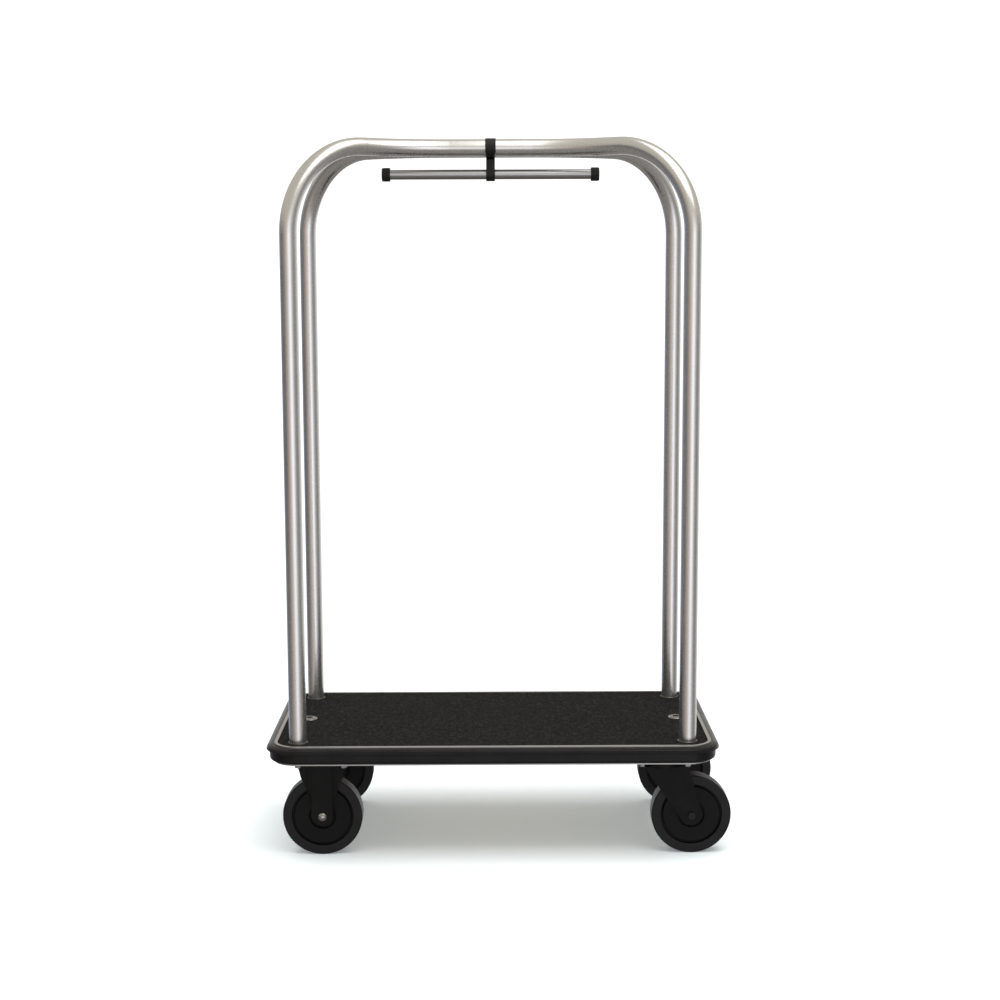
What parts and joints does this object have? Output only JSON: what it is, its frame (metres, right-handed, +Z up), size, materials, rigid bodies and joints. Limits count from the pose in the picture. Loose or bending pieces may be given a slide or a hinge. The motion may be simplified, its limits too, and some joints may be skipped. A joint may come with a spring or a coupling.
{
  "type": "luggage cart",
  "caption": "Wheeled luggage cart: bent tube hoops over a carpeted deck, a hanging rail under their joined tops, a rubber edge bumper, rigid and swivel casters.",
  "frame": {"origin": "middle of the footprint, on the floor that the wheels stand on", "axes": "+Z up; X along the deck, with the rigid casters at -X and the swivel casters at +X; -Y is the front long side"},
  "size_m": [1.1846, 0.608, 1.8158],
  "materials": {
    "hoop_steel": "satin brushed stainless tube",
    "trim_steel": "satin stainless trim",
    "dome_chrome": "polished",
    "zinc_steel": "bright zinc plate",
    "black_hardware": "black, semi-gloss",
    "rail_cap_plastic": "black, ribbed",
    "deck_carpet": "charcoal ribbed loop carpet",
    "deck_plywood": "birch plywood, sealed edges",
    "bumper_rubber": "black extruded rubber, satin",
    "base_steel": "black powder coat",
    "caster_steel": "black powder coat, slight texture",
    "wheel_hub_plastic": "black moulded nylon",
    "tyre_rubber": "black solid rubber, satin",
    "bearing_steel": "ground steel"
  },
  "bodies": {
    "root": {"front_hoop": "hoop_steel", "rear_hoop": "hoop_steel", "foot_collars": "trim_steel", "leg_plugs": "zinc_steel", "leg_bolts": "zinc_steel", "deck_carpet": "deck_carpet", "deck_board": "deck_plywood", "deck_packers": "deck_plywood", "deck_edge_channel": "trim_steel", "channel_screws": "zinc_steel", "bumper": "bumper_rubber", "base_plate_rigid_end": "base_steel", "base_plate_swivel_end": "base_steel", "base_rails": "base_steel", "base_cross_members": "base_steel", "frame_screws": "zinc_steel", "deck_cup_washers": "dome_chrome", "deck_bolts": "black_hardware", "deck_bolt_washers": "zinc_steel", "deck_bolt_nuts": "zinc_steel", "top_clamp_band": "black_hardware", "hanger_strap": "black_hardware", "hanger_bolt": "black_hardware", "hanger_nut": "black_hardware", "hanging_rail": "hoop_steel", "rail_screw": "black_hardware", "rail_caps": "rail_cap_plastic", "caster_bolts": "zinc_steel", "caster_bolt_washers": "zinc_steel", "rigid_axle_bolts": "dome_chrome", "rigid_axle_nuts": "zinc_steel", "rigid_axle_sleeves": "zinc_steel", "rigid_fork_front": "caster_steel", "rigid_fork_rear": "caster_steel", "kingpins": "zinc_steel", "kingpin_nuts": "zinc_steel", "swivel_top_plate_front": "caster_steel", "swivel_top_plate_rear": "caster_steel"},
    "swivel_front": {"swivel_fork_front": "caster_steel", "swivel_balls_front": "bearing_steel", "swivel_axle_bolt_front": "black_hardware", "swivel_axle_nut_front": "black_hardware", "swivel_axle_sleeve_front": "zinc_steel"},
    "rigid_wheel_front": {"rigid_tyre_front": "tyre_rubber", "rigid_hub_front": "wheel_hub_plastic", "rigid_bearing_front": "bearing_steel"},
    "swivel_wheel_front": {"swivel_tyre_front": "tyre_rubber", "swivel_hub_front": "wheel_hub_plastic", "swivel_bearing_front": "bearing_steel"},
    "swivel_rear": {"swivel_fork_rear": "caster_steel", "swivel_balls_rear": "bearing_steel", "swivel_axle_bolt_rear": "black_hardware", "swivel_axle_nut_rear": "black_hardware", "swivel_axle_sleeve_rear": "zinc_steel"},
    "rigid_wheel_rear": {"rigid_tyre_rear": "tyre_rubber", "rigid_hub_rear": "wheel_hub_plastic", "rigid_bearing_rear": "bearing_steel"},
    "swivel_wheel_rear": {"swivel_tyre_rear": "tyre_rubber", "swivel_hub_rear": "wheel_hub_plastic", "swivel_bearing_rear": "bearing_steel"}
  },
  "joints": [
    {"name": "rigid_wheel_spin_front", "type": "hinge", "parent": "root", "child": "rigid_wheel_front", "pos_m": [-0.4523, -0.2042, 0.1016], "axis": [0, 1, 0], "continuous": true},
    {"name": "swivel_wheel_spin_front", "type": "hinge", "parent": "swivel_front", "child": "swivel_wheel_front", "pos_m": [0.4907, -0.2042, 0.1016], "axis": [0, 1, 0], "continuous": true},
    {"name": "swivel_turn_front", "type": "hinge", "parent": "root", "child": "swivel_front", "pos_m": [0.4197, -0.2042, 0.23], "axis": [0, 0, 1], "continuous": true},
    {"name": "rigid_wheel_spin_rear", "type": "hinge", "parent": "root", "child": "rigid_wheel_rear", "pos_m": [-0.4523, 0.2042, 0.1016], "axis": [0, 1, 0], "continuous": true},
    {"name": "swivel_wheel_spin_rear", "type": "hinge", "parent": "swivel_rear", "child": "swivel_wheel_rear", "pos_m": [0.4907, 0.2042, 0.1016], "axis": [0, 1, 0], "continuous": true},
    {"name": "swivel_turn_rear", "type": "hinge", "parent": "root", "child": "swivel_rear", "pos_m": [0.4197, 0.2042, 0.23], "axis": [0, 0, 1], "continuous": true}
  ]
}
